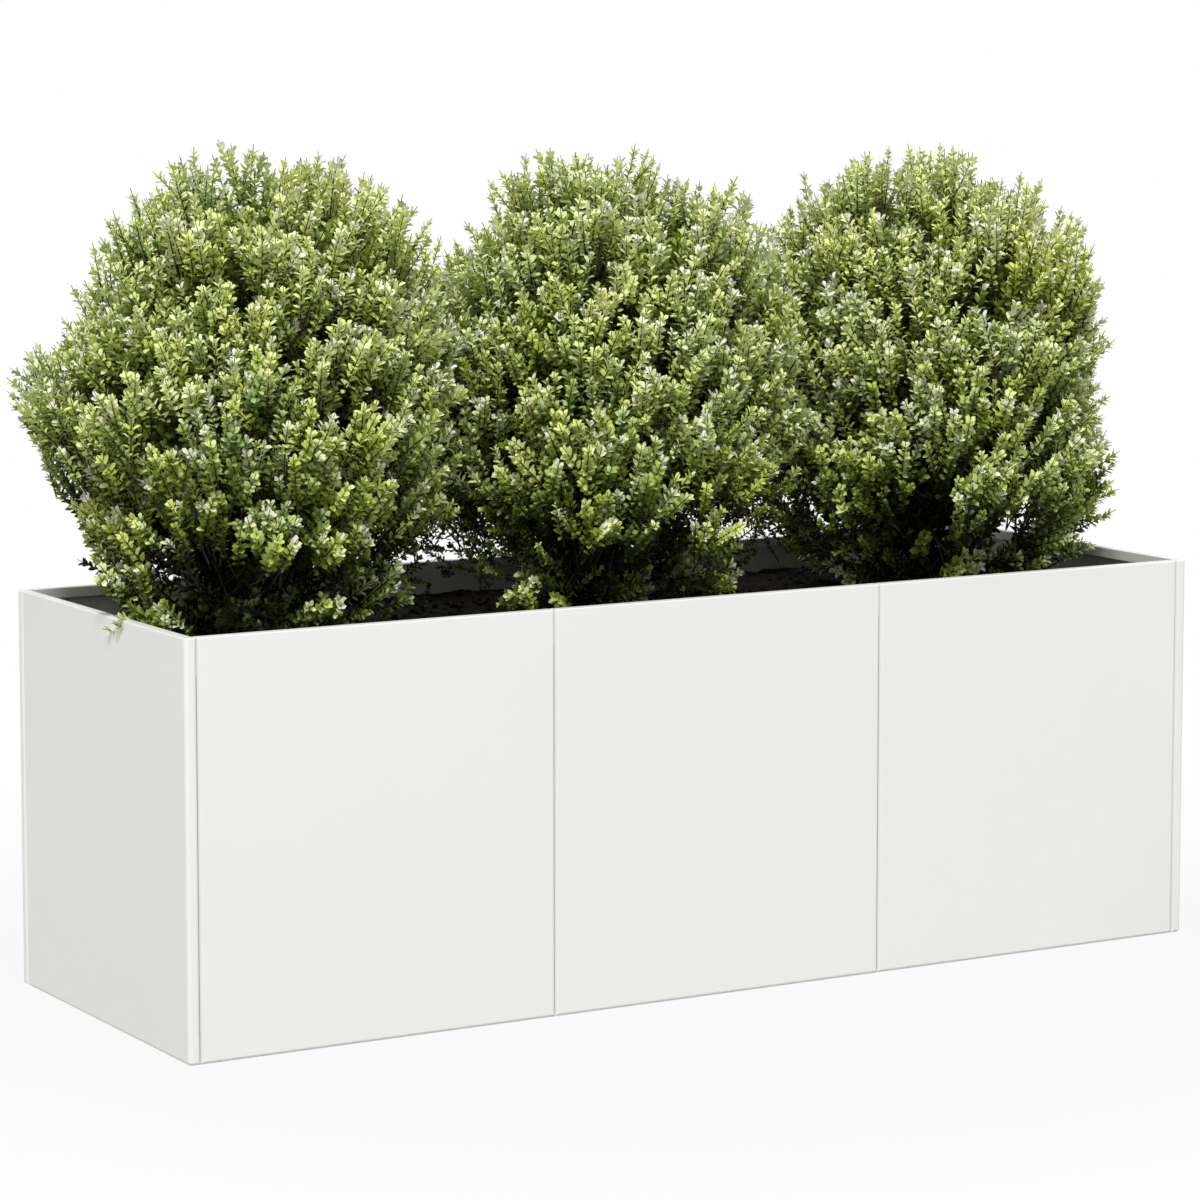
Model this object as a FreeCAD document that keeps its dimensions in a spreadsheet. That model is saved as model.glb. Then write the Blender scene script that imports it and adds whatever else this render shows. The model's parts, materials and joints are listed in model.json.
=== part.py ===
import FreeCAD, Part
import math
import os
import Sketcher

# Long planter of folded steel panels, filled with soil and planted with three shrubs.
# Origin: middle of the footprint on the floor. X runs along the front, Y from front to back, Z up.
# Lengths are in millimetres, and turns in degrees.

os.makedirs("parts", exist_ok=True)
doc = FreeCAD.newDocument("planter")
sheet = doc.addObject("Spreadsheet::Sheet", "sizes")


class Size:
    """A length as a number, with the expression on the sheet that it comes from."""

    def __init__(self, number, text):
        self.number = number
        self.text = text

    def __add__(self, other):
        other = as_size(other)
        return Size(self.number + other.number, f"({self.text} + {other.text})")

    def __sub__(self, other):
        other = as_size(other)
        return Size(self.number - other.number, f"({self.text} - {other.text})")

    def __mul__(self, other):
        other = as_size(other)
        return Size(self.number * other.number, f"({self.text} * {other.text})")

    def __truediv__(self, other):
        other = as_size(other)
        return Size(self.number / other.number, f"({self.text} / {other.text})")

    def __neg__(self):
        return Size(-self.number, f"(0 - {self.text})")


def as_size(value):
    """A plain count or share as a Size."""
    return value if isinstance(value, Size) else Size(value, f"({value})")


ZERO = Size(0, "0")
rows_used = []


def sized(alias, number):
    """Writes one driving dimension on the sheet and returns it."""
    rows_used.append(alias)
    row = len(rows_used)
    sheet.set(f"A{row}", alias)
    sheet.set(f"B{row}", str(number))
    sheet.setAlias(f"B{row}", alias)
    return Size(number, f"sizes.{alias}")


# Trough
planter_length = sized("planter_length", 1160)
planter_depth = sized("planter_depth", 400)
planter_height = sized("planter_height", 400)
corner_return = sized("corner_return", 12.25)
fit_gap = sized("fit_gap", 0.3)

# Sheet metal
wall_gauge = sized("wall_gauge", 1.5)
seam_radius = sized("seam_radius", 3.5)
rim_radius = sized("rim_radius", 1.2)
corner_radius = sized("corner_radius", 4)
side_flange = sized("side_flange", 20)
top_flange = sized("top_flange", 10)
rim_lip = sized("rim_lip", 10)
bottom_flange = sized("bottom_flange", 25)

# Floor plates
floor_gauge = sized("floor_gauge", 2)
floor_flange = sized("floor_flange", 20)
drain_diameter = sized("drain_diameter", 10)
drain_edge = sized("drain_edge", 70)

# Tie bars
tie_thickness = sized("tie_thickness", 3)
tie_height = sized("tie_height", 30)

# Bolts and nuts
bolt_diameter = sized("bolt_diameter", 6)
hole_gap = sized("hole_gap", 0.3)
thread_gap = sized("thread_gap", 0.05)
bolt_flats = sized("bolt_flats", 10)
bolt_head = sized("bolt_head", 4)
nut_height = sized("nut_height", 5)
collar_diameter = sized("collar_diameter", 13)
collar_height = sized("collar_height", 1.2)
seam_bolt_length = sized("seam_bolt_length", 16)
corner_bolt_length = sized("corner_bolt_length", 12)
bolt_inset = sized("bolt_inset", 12.5)
low_bolt_height = sized("low_bolt_height", 60)
high_bolt_drop = sized("high_bolt_drop", 80)

# Soil and plants
soil_drop = sized("soil_drop", 32)
bolt_room = sized("bolt_room", 18)
ball_diameter = sized("ball_diameter", 190)
ball_height = sized("ball_height", 210)
crown_lift = sized("crown_lift", 40)
stem_base_radius = sized("stem_base_radius", 9)
stem_top_radius = sized("stem_top_radius", 6)
stem_spread = sized("stem_spread", 46)
stem_lean = sized("stem_lean", 14)

# Places of the plants, and how far their dense leaf mass stands back from the wall faces,
# rises above the rim and leans
left_plant_inset = sized("left_plant_inset", 160)
left_setback = sized("left_setback", 7)
left_rise = sized("left_rise", 457)
left_lean = sized("left_lean", 18)
middle_plant_shift = sized("middle_plant_shift", 28)
middle_setback = sized("middle_setback", 10)
middle_rise = sized("middle_rise", 442)
middle_lean = sized("middle_lean", 8)
right_plant_inset = sized("right_plant_inset", 200)
right_setback = sized("right_setback", 8)
right_rise = sized("right_rise", 442)
right_lean = sized("right_lean", 10)

# Room that cutting tools run past a piece
overrun = sized("overrun", 1)
doc.recompute()

BOLT_ROWS = 3
DRAIN_COLUMNS = 4
STEMS = 4
first_stem_share = 0.35

# Worked out from the sizes above
half_length = planter_length / 2
half_depth = planter_depth / 2
front = -half_depth
pitch = (planter_length - corner_return * 2) / 3
half_pitch = pitch / 2
corner_seam = half_length - corner_return
back_seam = half_depth - corner_return
bolt_hole = bolt_diameter + hole_gap * 2
bolt_step = (planter_height - high_bolt_drop - low_bolt_height) / (BOLT_ROWS - 1)
bolt_heights = [low_bolt_height + bolt_step * row for row in range(BOLT_ROWS)]
tie_bolt_height = bolt_heights[-1]
soil_top = planter_height - soil_drop
crown_base = soil_top + crown_lift
floor_top = wall_gauge + floor_gauge
sub_parts = []


# Sketches and features

def new_body(label):
    body = doc.addObject("PartDesign::Body", label)
    body.Label = label
    sub_parts.append(body)
    return body


def new_sketch(body, plane_role, name, offset=ZERO):
    """A sketch on one of the body's own planes, moved along that plane's normal."""
    sketch = body.newObject("Sketcher::SketchObject", name)
    plane = next(f for f in body.Origin.OriginFeatures if f.Role == plane_role)
    sketch.AttachmentSupport = [(plane, "")]
    sketch.MapMode = "FlatFace"
    sketch.setExpression("AttachmentOffset.Base.z", offset.text)
    return sketch


def pin_point(sketch, line, point, across, up):
    """Holds one point of the sketch at its distances from the origin."""
    for kind, size, axis in (("DistanceX", across, -2), ("DistanceY", up, -1)):
        if size.number == 0:
            sketch.addConstraint(Sketcher.Constraint("PointOnObject", line, point, axis))
        else:
            sketch.addConstraint(Sketcher.Constraint(kind, line, point, size.number))
            index = sketch.ConstraintCount - 1
            sketch.setExpression(f"Constraints[{index}]", size.text)


def draw_outline(sketch, corners):
    """A closed outline of straight lines through the corners."""
    first = sketch.GeometryCount
    count = len(corners)
    for i, (across, up) in enumerate(corners):
        next_across, next_up = corners[(i + 1) % count]
        start = FreeCAD.Vector(across.number, up.number, 0)
        end = FreeCAD.Vector(next_across.number, next_up.number, 0)
        sketch.addGeometry(Part.LineSegment(start, end))
    for i in range(count):
        follows = first + (i + 1) % count
        sketch.addConstraint(Sketcher.Constraint("Coincident", first + i, 2, follows, 1))
    for i, (across, up) in enumerate(corners):
        pin_point(sketch, first + i, 1, across, up)


def draw_circles(sketch, centres, diameter):
    for across, up in centres:
        line = sketch.GeometryCount
        centre = FreeCAD.Vector(across.number, up.number, 0)
        normal = FreeCAD.Vector(0, 0, 1)
        sketch.addGeometry(Part.Circle(centre, normal, diameter.number / 2))
        sketch.addConstraint(Sketcher.Constraint("Diameter", line, diameter.number))
        sketch.setExpression(f"Constraints[{sketch.ConstraintCount - 1}]", diameter.text)
        pin_point(sketch, line, 3, across, up)


def pad(body, name, sketch, length):
    feature = body.newObject("PartDesign::Pad", name)
    feature.Profile = sketch
    feature.setExpression("Length", length.text)
    doc.recompute()


def plate(body, name, plane_role, offset, corners, thickness):
    """A flat plate on a plane of the body, from the offset along the plane's normal."""
    sketch = new_sketch(body, plane_role, name + "_outline", offset)
    draw_outline(sketch, corners)
    pad(body, name, sketch, thickness)


def cut(body, name, sketch, depth):
    """Cuts the sketch through by the depth, half to each side of its plane."""
    before = body.Shape.Volume
    feature = body.newObject("PartDesign::Pocket", name)
    feature.Profile = sketch
    feature.setExpression("Length", depth.text)
    feature.Midplane = True
    doc.recompute()
    if not feature.Shape.Volume < before:
        raise ValueError(f"{name} of {body.Label} cuts nothing")


def drill(body, name, plane_role, offset, centres, diameter, depth):
    sketch = new_sketch(body, plane_role, name + "_circles", offset)
    draw_circles(sketch, centres, diameter)
    cut(body, name, sketch, depth)


def round_edges(body, name, radius, wanted):
    """Rounds the straight edges of the body that the test picks."""
    base = body.Tip
    picked = [f"Edge{i + 1}" for i, edge in enumerate(base.Shape.Edges) if wanted(edge)]
    feature = body.newObject("PartDesign::Fillet", name)
    feature.Base = (base, picked)
    feature.setExpression("Radius", radius.text)
    doc.recompute()


def bevel_edges(body, name, length, wanted):
    base = body.Tip
    picked = [f"Edge{i + 1}" for i, edge in enumerate(base.Shape.Edges) if wanted(edge)]
    feature = body.newObject("PartDesign::Chamfer", name)
    feature.Base = (base, picked)
    feature.setExpression("Size", length.text)
    doc.recompute()


MATCH_SHARE = 0.000001


def near(a, b):
    """True if two places are the same, apart from rounding."""
    return abs(a - b) < planter_length.number * MATCH_SHARE


def upright_at(places):
    """Picks upright edges that stand at one of the places."""
    def test(edge):
        box = edge.BoundBox
        return box.ZLength > planter_height.number / 2 and any(
            near(box.XMin, x.number) and near(box.XMax, x.number)
            and near(box.YMin, y.number) and near(box.YMax, y.number)
            for x, y in places
        )
    return test


def level_along(lines, levels):
    """Picks level edges on one of the lines, each an axis and its place, at one of the levels."""
    def test(edge):
        box = edge.BoundBox
        if box.ZLength > fit_gap.number or not any(near(box.ZMin, z.number) for z in levels):
            return False
        spans = {"x": (box.XMin, box.XMax), "y": (box.YMin, box.YMax)}
        return any(
            near(spans[axis][0], place.number) and near(spans[axis][1], place.number)
            for axis, place in lines
        )
    return test


# Wall panels

def wall_panel(label, plan, top, lip, bottom, corner_posts, seam_posts, face_lines, flange_tips):
    """A folded panel: upright walls on a plan, with a top and a bottom flange.

    The top flange is turned down again in a lip. corner_posts and seam_posts hold an outer and
    an inner list of upright edges to round, face_lines the outer faces whose level edges are
    rounded, and flange_tips the free edges of the side flanges, bevelled down from the rim.
    """
    body = new_body(label)
    plate(body, "walls", "XY_Plane", ZERO, plan, planter_height)
    plate(body, "rim", "XY_Plane", planter_height - wall_gauge, top, wall_gauge)
    plate(body, "lip", "XY_Plane", planter_height - rim_lip, lip, rim_lip - wall_gauge)
    plate(body, "foot", "XY_Plane", ZERO, bottom, wall_gauge)
    if corner_posts:
        round_edges(body, "corner_outside", corner_radius, upright_at(corner_posts[0]))
        inner = corner_radius - wall_gauge
        round_edges(body, "corner_inside", inner, upright_at(corner_posts[1]))
    seams = upright_at(seam_posts[0])
    foot_edges = level_along(face_lines, [ZERO])
    round_edges(body, "seam_outside", seam_radius, lambda e: seams(e) or foot_edges(e))
    round_edges(body, "seam_inside", seam_radius - wall_gauge, upright_at(seam_posts[1]))
    bevel_edges(body, "flange_bevel", side_flange - top_flange, flange_tips)
    round_edges(body, "rim_outside", rim_radius, level_along(face_lines, [planter_height]))
    return body


def tip_edges(axis, places, reach):
    """Picks the short level edges at the rim where a side flange ends.

    The flange stands along the axis at one of the places, and ends at the reach.
    """
    def test(edge):
        box = edge.BoundBox
        if not near(box.ZMin, planter_height.number) or box.ZLength > fit_gap.number:
            return False
        spans = {"x": (box.XMin, box.XMax), "y": (box.YMin, box.YMax)}
        other = "y" if axis == "x" else "x"
        middle = sum(spans[axis]) / 2
        on_reach = near(spans[other][0], reach.number) and near(spans[other][1], reach.number)
        return on_reach and any(abs(middle - p.number) < wall_gauge.number for p in places)
    return test


def straight_panel(label, middle, side):
    """A panel between two seams. side is -1 at the front and 1 at the back."""
    left = middle - half_pitch
    right = middle + half_pitch
    face = half_depth * side
    inside = (half_depth - wall_gauge) * side
    reach = (half_depth - side_flange) * side
    plan = [
        (left, reach), (left, face), (right, face), (right, reach),
        (right - wall_gauge, reach), (right - wall_gauge, inside),
        (left + wall_gauge, inside), (left + wall_gauge, reach),
    ]
    rim = (half_depth - top_flange) * side
    fold = (half_depth - top_flange + wall_gauge) * side
    top = [(left, face), (right, face), (right, rim), (left, rim)]
    lip = [(left, fold), (right, fold), (right, rim), (left, rim)]
    bottom = [
        (left, face), (right, face),
        (right, (half_depth - bottom_flange) * side), (left, (half_depth - bottom_flange) * side),
    ]
    seam_posts = [
        [(left, face), (right, face)],
        [(left + wall_gauge, inside), (right - wall_gauge, inside)],
    ]
    body = wall_panel(label, plan, top, lip, bottom, None, seam_posts, [("y", face)],
                      tip_edges("x", [left, right], reach))
    row = (half_depth - bolt_inset) * side
    for name, seam in (("left_holes", left), ("right_holes", right)):
        drill(body, name, "YZ_Plane", seam, [(row, height) for height in bolt_heights],
              bolt_hole, wall_gauge * 4)
    return body


def end_panel(label, side):
    """An end with a strip round the front corner. side is -1 at the left and 1 at the right."""
    seam = corner_seam * side
    face = half_length * side
    inside = (half_length - wall_gauge) * side
    reach = (half_length - side_flange) * side
    plan = [
        (seam, front + side_flange), (seam, front), (face, front), (face, back_seam),
        (reach, back_seam), (reach, back_seam - wall_gauge), (inside, back_seam - wall_gauge),
        (inside, front + wall_gauge), ((corner_seam + wall_gauge) * side, front + wall_gauge),
        ((corner_seam + wall_gauge) * side, front + side_flange),
    ]
    rim = (half_length - top_flange) * side
    fold = (half_length - top_flange + wall_gauge) * side
    top = [
        (seam, front), (face, front), (face, back_seam), (rim, back_seam),
        (rim, front + top_flange), (seam, front + top_flange),
    ]
    lip = [
        (seam, front + top_flange), (seam, front + top_flange - wall_gauge),
        (fold, front + top_flange - wall_gauge), (fold, back_seam), (rim, back_seam),
        (rim, front + top_flange),
    ]
    foot = (half_length - bottom_flange) * side
    foot_start = front + bottom_flange + fit_gap
    bottom = [
        (seam, front), (face, front), (face, back_seam), (foot, back_seam),
        (foot, foot_start), (seam, foot_start),
    ]
    corner_posts = [[(face, front)], [(inside, front + wall_gauge)]]
    seam_posts = [
        [(seam, front), (face, back_seam)],
        [((corner_seam + wall_gauge) * side, front + wall_gauge), (inside, back_seam - wall_gauge)],
    ]
    front_tip = tip_edges("x", [seam], front + side_flange)
    back_tip = tip_edges("y", [back_seam], reach)
    body = wall_panel(label, plan, top, lip, bottom, corner_posts, seam_posts,
                      [("x", face), ("y", front)], lambda e: front_tip(e) or back_tip(e))
    row = front + bolt_inset
    drill(body, "front_holes", "YZ_Plane", seam, [(row, height) for height in bolt_heights],
          bolt_hole, wall_gauge * 4)
    row = (half_length - bolt_inset) * side
    drill(body, "back_holes", "XZ_Plane", -back_seam, [(row, height) for height in bolt_heights],
          bolt_hole, wall_gauge * 4)
    return body


def back_corner_panel(label, side):
    """A back panel with a strip round its corner. side is -1 at the left and 1 at the right."""
    seam = half_pitch * side
    seam_inside = (half_pitch + wall_gauge) * side
    face = half_length * side
    inside = (half_length - wall_gauge) * side
    reach = (half_length - side_flange) * side
    back = half_depth
    plan = [
        (reach, back_seam), (face, back_seam), (face, back), (seam, back),
        (seam, back - side_flange), (seam_inside, back - side_flange),
        (seam_inside, back - wall_gauge), (inside, back - wall_gauge),
        (inside, back_seam + wall_gauge), (reach, back_seam + wall_gauge),
    ]
    rim = (half_length - top_flange) * side
    fold = (half_length - top_flange + wall_gauge) * side
    top = [
        (rim, back_seam), (face, back_seam), (face, back), (seam, back),
        (seam, back - top_flange), (rim, back - top_flange),
    ]
    lip = [
        (rim, back_seam), (fold, back_seam), (fold, back - top_flange + wall_gauge),
        (seam, back - top_flange + wall_gauge), (seam, back - top_flange),
        (rim, back - top_flange),
    ]
    foot = (half_length - bottom_flange - fit_gap) * side
    bottom = [
        (foot, back_seam), (face, back_seam), (face, back), (seam, back),
        (seam, back - bottom_flange), (foot, back - bottom_flange),
    ]
    corner_posts = [[(face, back)], [(inside, back - wall_gauge)]]
    seam_posts = [
        [(seam, back), (face, back_seam)],
        [(seam_inside, back - wall_gauge), (inside, back_seam + wall_gauge)],
    ]
    seam_tip = tip_edges("x", [seam], back - side_flange)
    corner_tip = tip_edges("y", [back_seam], reach)
    body = wall_panel(label, plan, top, lip, bottom, corner_posts, seam_posts,
                      [("x", face), ("y", back)], lambda e: seam_tip(e) or corner_tip(e))
    row = back - bolt_inset
    drill(body, "seam_holes", "YZ_Plane", seam, [(row, height) for height in bolt_heights],
          bolt_hole, wall_gauge * 4)
    row = (half_length - bolt_inset) * side
    drill(body, "corner_holes", "XZ_Plane", -back_seam, [(row, height) for height in bolt_heights],
          bolt_hole, wall_gauge * 4)
    return body


straight_panel("front_panel_left", -pitch, -1)
straight_panel("front_panel_middle", ZERO, -1)
straight_panel("front_panel_right", pitch, -1)
straight_panel("back_panel_middle", ZERO, 1)
back_corner_panel("back_panel_left", -1)
back_corner_panel("back_panel_right", 1)
end_panel("end_panel_left", -1)
end_panel("end_panel_right", 1)


# Floor plates, bolted together through their turned-up edges

floor_edge = half_depth - wall_gauge - fit_gap
floor_notch_depth = half_depth - side_flange - fit_gap
floor_notch_width = wall_gauge + fit_gap
floor_end = half_length - side_flange - fit_gap
floor_bolt_height = wall_gauge + floor_gauge + bolt_inset
floor_bolt_places = [-(half_depth / 2), ZERO, half_depth / 2]


def drain_places(low, high):
    """Rows of drain holes between two ends of a plate, along both long edges."""
    step = (high - low - drain_edge * 2) / (DRAIN_COLUMNS - 1)
    columns = [low + drain_edge + step * i for i in range(DRAIN_COLUMNS)]
    return [(x, y) for x in columns for y in (drain_edge - half_depth, half_depth - drain_edge)]


def turned_edge(body, name, seam, side):
    """The upright edge of a floor plate, beside the seam, on the side that the plate lies."""
    inner = seam + floor_gauge * side
    corners = [
        (seam, -floor_notch_depth), (seam, floor_notch_depth),
        (inner, floor_notch_depth), (inner, -floor_notch_depth),
    ]
    plate(body, name, "XY_Plane", wall_gauge, corners, floor_gauge + floor_flange)
    drill(body, name + "_holes", "YZ_Plane", seam,
          [(place, floor_bolt_height) for place in floor_bolt_places], bolt_hole, floor_gauge * 4)


def middle_floor_plate():
    body = new_body("floor_plate_middle")
    inner = half_pitch - floor_notch_width
    corners = [
        (-inner, -floor_edge), (inner, -floor_edge), (inner, -floor_notch_depth),
        (half_pitch, -floor_notch_depth), (half_pitch, floor_notch_depth),
        (inner, floor_notch_depth), (inner, floor_edge), (-inner, floor_edge),
        (-inner, floor_notch_depth), (-half_pitch, floor_notch_depth),
        (-half_pitch, -floor_notch_depth), (-inner, -floor_notch_depth),
    ]
    plate(body, "floor", "XY_Plane", wall_gauge, corners, floor_gauge)
    turned_edge(body, "left_edge", -half_pitch, 1)
    turned_edge(body, "right_edge", half_pitch, -1)
    drill(body, "drains", "XY_Plane", wall_gauge, drain_places(-half_pitch, half_pitch),
          drain_diameter, floor_gauge * 4)


def end_floor_plate(label, side):
    body = new_body(label)
    seam = half_pitch * side
    inner = (half_pitch + floor_notch_width) * side
    end = floor_end * side
    corners = [
        (inner, -floor_edge), (end, -floor_edge), (end, floor_edge), (inner, floor_edge),
        (inner, floor_notch_depth), (seam, floor_notch_depth),
        (seam, -floor_notch_depth), (inner, -floor_notch_depth),
    ]
    plate(body, "floor", "XY_Plane", wall_gauge, corners, floor_gauge)
    turned_edge(body, "seam_edge", seam, side)
    low, high = (seam, end) if side > 0 else (end, seam)
    drill(body, "drains", "XY_Plane", wall_gauge, drain_places(low, high),
          drain_diameter, floor_gauge * 4)


middle_floor_plate()
end_floor_plate("floor_plate_left", -1)
end_floor_plate("floor_plate_right", 1)


# Tie bars across the trough, bolted to the seam flanges on their outer sides

def tie_bar(label, side):
    body = new_body(label)
    near_face = half_pitch + wall_gauge
    middle = near_face + tie_thickness / 2
    offset = near_face if side > 0 else -near_face - tie_thickness
    low = tie_bolt_height - tie_height / 2
    high = tie_bolt_height + tie_height / 2
    end = half_depth - wall_gauge - seam_radius
    corners = [(-end, low), (end, low), (end, high), (-end, high)]
    plate(body, "bar", "YZ_Plane", offset, corners, tie_thickness)
    row = half_depth - bolt_inset
    drill(body, "holes", "YZ_Plane", middle * side, [(-row, tie_bolt_height), (row, tie_bolt_height)],
          bolt_hole, tie_thickness * 2)
    corners = [(y, z) for y in (-end, end) for z in (low, high)]
    round_edges(body, "ends", tie_height / 4, lambda e: e.BoundBox.XLength > fit_gap.number and any(
        near(e.BoundBox.YMin, y.number) and near(e.BoundBox.ZMin, z.number) for y, z in corners)
        and e.BoundBox.YLength < fit_gap.number)


tie_bar("tie_bar_left", -1)
tie_bar("tie_bar_right", 1)


# Bolts and nuts

def primitive(kind, name, sizes, base=(ZERO, ZERO, ZERO)):
    """A primitive whose lengths and place follow the sheet."""
    item = doc.addObject(kind, name)
    for key, size in sizes.items():
        item.setExpression(key, size.text)
    for axis, size in zip("xyz", base):
        item.setExpression(f"Placement.Base.{axis}", size.text)
    return item


def fused(name, items):
    item = doc.addObject("Part::MultiFuse", name)
    item.Shapes = items
    return item


def hexagon(name, height, base):
    prism = primitive("Part::Prism", name, {
        "Circumradius": bolt_flats / math.sqrt(3), "Height": height}, base)
    prism.Polygon = 6
    return prism


def bolt(name, length):
    """A flanged hexagon bolt along Z. Its seat is at zero, its shank below and its head above."""
    shank = primitive("Part::Cylinder", name + "_shank", {
        "Radius": bolt_diameter / 2, "Height": length}, (ZERO, ZERO, -length))
    collar = primitive("Part::Cylinder", name + "_collar", {
        "Radius": collar_diameter / 2, "Height": collar_height})
    head = hexagon(name + "_head", bolt_head, (ZERO, ZERO, collar_height))
    return fused(name, [shank, collar, head])


def flange_nut():
    """A flanged hexagon nut along Z. Its seat is at zero and its hexagon above."""
    collar = primitive("Part::Cylinder", "nut_collar", {
        "Radius": collar_diameter / 2, "Height": collar_height})
    hexagon_part = hexagon("nut_hexagon", nut_height - collar_height, (ZERO, ZERO, collar_height))
    blank = fused("nut_blank", [collar, hexagon_part])
    bore = primitive("Part::Cylinder", "nut_bore", {
        "Radius": bolt_diameter / 2 + thread_gap, "Height": nut_height + overrun * 2},
        (ZERO, ZERO, -overrun))
    nut = doc.addObject("Part::Cut", "nut")
    nut.Base = blank
    nut.Tool = bore
    return nut


# Where a fastener's Z axis points: to the left, right, front or back of the planter
TURNS = {
    "left": FreeCAD.Rotation(FreeCAD.Vector(0, 1, 0), -90),
    "right": FreeCAD.Rotation(FreeCAD.Vector(0, 1, 0), 90),
    "front": FreeCAD.Rotation(FreeCAD.Vector(1, 0, 0), 90),
    "back": FreeCAD.Rotation(FreeCAD.Vector(1, 0, 0), -90),
}


def group(label, fastener, places):
    """Copies of one fastener, each with the way that it points and its place."""
    links = []
    for way, base in places:
        link = doc.addObject("App::Link", label + "_copy")
        link.LinkedObject = fastener
        link.Placement = FreeCAD.Placement(FreeCAD.Vector(0, 0, 0), TURNS[way])
        for axis, size in zip("xyz", base):
            link.setExpression(f"Placement.Base.{axis}", size.text)
        links.append(link)
    item = doc.addObject("Part::Compound", label)
    item.Label = label
    item.Links = links
    sub_parts.append(item)


seam_bolt = bolt("seam_bolt", seam_bolt_length)
corner_bolt = bolt("corner_bolt", corner_bolt_length)
nut = flange_nut()

seam_row = half_depth - bolt_inset
corner_row = half_length - bolt_inset
bar_stack = wall_gauge + tie_thickness
inner_seam_bolts = []
inner_seam_nuts = []
for side, inward, outward in ((-1, "right", "left"), (1, "left", "right")):
    for row_y in (-seam_row, seam_row):
        for height in bolt_heights:
            stack = bar_stack if height is tie_bolt_height else wall_gauge
            inner_seam_bolts.append((inward, ((half_pitch - wall_gauge) * side, row_y, height)))
            inner_seam_nuts.append((outward, ((half_pitch + stack) * side, row_y, height)))
group("seam_bolts", seam_bolt, inner_seam_bolts)
group("seam_nuts", nut, inner_seam_nuts)

front_corner_bolts = []
front_corner_nuts = []
for side, inward, outward in ((-1, "right", "left"), (1, "left", "right")):
    for height in bolt_heights:
        front_corner_bolts.append((inward, ((corner_seam - wall_gauge) * side, -seam_row, height)))
        front_corner_nuts.append((outward, ((corner_seam + wall_gauge) * side, -seam_row, height)))
back_corner_bolts = []
back_corner_nuts = []
for side in (-1, 1):
    for height in bolt_heights:
        back_corner_bolts.append(("front", (corner_row * side, back_seam - wall_gauge, height)))
        back_corner_nuts.append(("back", (corner_row * side, back_seam + wall_gauge, height)))
group("front_corner_bolts", corner_bolt, front_corner_bolts)
group("front_corner_nuts", nut, front_corner_nuts)
group("back_corner_bolts", corner_bolt, back_corner_bolts)
group("back_corner_nuts", nut, back_corner_nuts)

floor_bolts = []
floor_nuts = []
for side, inward, outward in ((-1, "right", "left"), (1, "left", "right")):
    for place in floor_bolt_places:
        floor_bolts.append((inward, ((half_pitch - floor_gauge) * side, place, floor_bolt_height)))
        floor_nuts.append((outward, ((half_pitch + floor_gauge) * side, place, floor_bolt_height)))
group("floor_bolts", corner_bolt, floor_bolts)
group("floor_nuts", nut, floor_nuts)


# Plants

PLANTS = [
    ("left", left_plant_inset - half_length, left_setback, left_rise, left_lean),
    ("middle", -middle_plant_shift, middle_setback, middle_rise, middle_lean),
    ("right", half_length - right_plant_inset, right_setback, right_rise, right_lean),
]
ball_top = soil_top
ball_bottom = ball_top - ball_height


def root_ball(name, place):
    body = new_body(f"root_ball_{name}")
    sketch = new_sketch(body, "XY_Plane", "ball_circle", ball_bottom)
    draw_circles(sketch, [(place, ZERO)], ball_diameter)
    pad(body, "ball", sketch, ball_height)
    round_edges(body, "foot_round", ball_diameter / 8,
                lambda e: near(e.BoundBox.ZMax, ball_bottom.number))


def stems(name, place):
    """Stems that rise and lean out from the root ball, cut level at both ends."""
    rise = crown_base - ball_top
    lean = math.atan2(stem_lean.number, rise.number)
    cones = []
    for i in range(STEMS):
        turn = 2 * math.pi * (i + first_stem_share) / STEMS
        reach = stem_spread / 3
        cone = primitive("Part::Cone", f"stem_{name}_{i + 1}", {
            "Radius1": stem_base_radius, "Radius2": stem_top_radius,
            "Height": rise + stem_base_radius * 4,
        })
        axis = FreeCAD.Vector(-math.sin(turn), math.cos(turn), 0)
        cone.Placement.Rotation = FreeCAD.Rotation(axis, math.degrees(lean))
        cone.setExpression("Placement.Base.x", (place + reach * math.cos(turn)).text)
        cone.setExpression("Placement.Base.y", (reach * math.sin(turn)).text)
        cone.setExpression("Placement.Base.z", (ball_top - stem_base_radius * 2).text)
        cones.append(cone)
    bundle = fused(f"stem_bundle_{name}", cones)
    room = stem_spread * 3
    slab = primitive("Part::Box", f"stem_slab_{name}", {
        "Length": room, "Width": room, "Height": rise - fit_gap},
        (place - room / 2, -room / 2, ball_top))
    item = doc.addObject("Part::Common", f"stems_{name}")
    item.Base = bundle
    item.Tool = slab
    item.Label = f"stems_{name}"
    sub_parts.append(item)


# Rings of a crown from its foot to its top: shares of its height, of its reach and of its lean
CROWN_RING_SHARES = [
    (0.00, 0.63, 0.0), (0.09, 0.80, 0.0), (0.20, 0.93, 0.0), (0.34, 1.00, 0.0), (0.46, 0.97, 0.2),
    (0.57, 0.87, 0.4), (0.70, 0.69, 0.8), (0.81, 0.48, 1.0), (0.91, 0.30, 1.0), (0.97, 0.17, 1.0),
    (1.00, 0.07, 1.0),
]


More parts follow.
